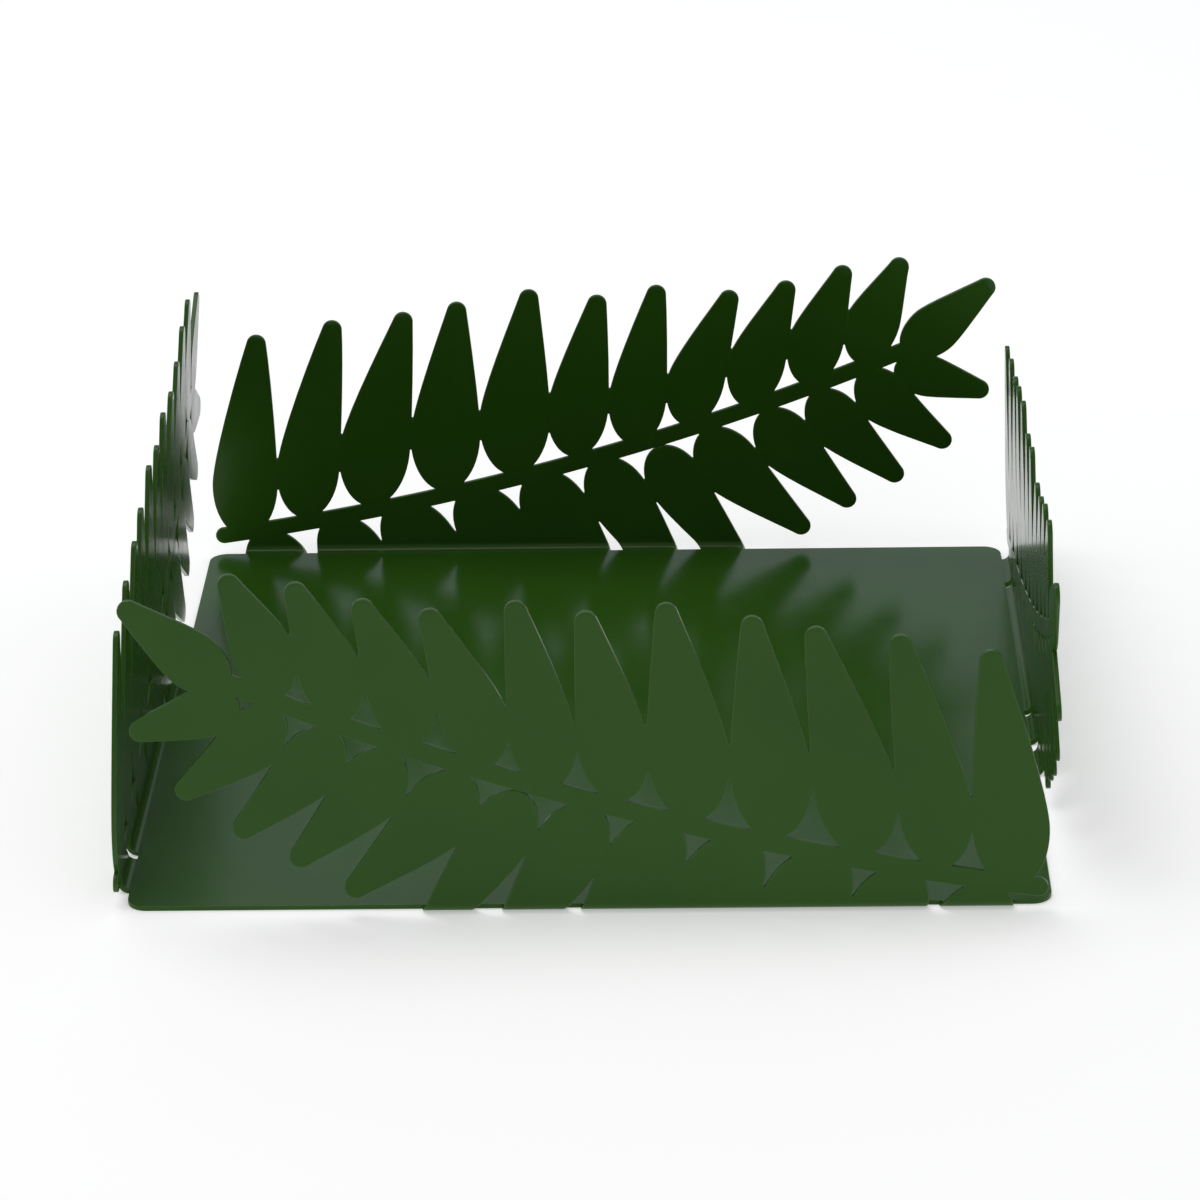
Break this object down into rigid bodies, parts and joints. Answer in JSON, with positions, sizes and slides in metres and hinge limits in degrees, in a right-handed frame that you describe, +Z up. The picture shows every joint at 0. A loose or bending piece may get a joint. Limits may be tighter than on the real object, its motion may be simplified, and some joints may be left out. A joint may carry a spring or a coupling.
{
  "type": "napkin tray",
  "caption": "Open square napkin tray in green sheet metal; each low side is a cut-out fern frond that climbs from one corner.",
  "frame": {"origin": "middle of the floor's underside, on the surface the tray stands on", "axes": "+Z up; +X to the right and -Y to the front, seen from the front; the four sides face -Y, +X, +Y and -X"},
  "size_m": [0.185, 0.185, 0.0707],
  "materials": {
    "green_paint": "satin leaf-green powder coat on sheet steel, thinner and rounded over the cut edges"
  },
  "bodies": {
    "root": {"floor": "green_paint", "fern_back": "green_paint", "fern_left": "green_paint", "fern_front": "green_paint", "fern_right": "green_paint"}
  },
  "joints": []
}
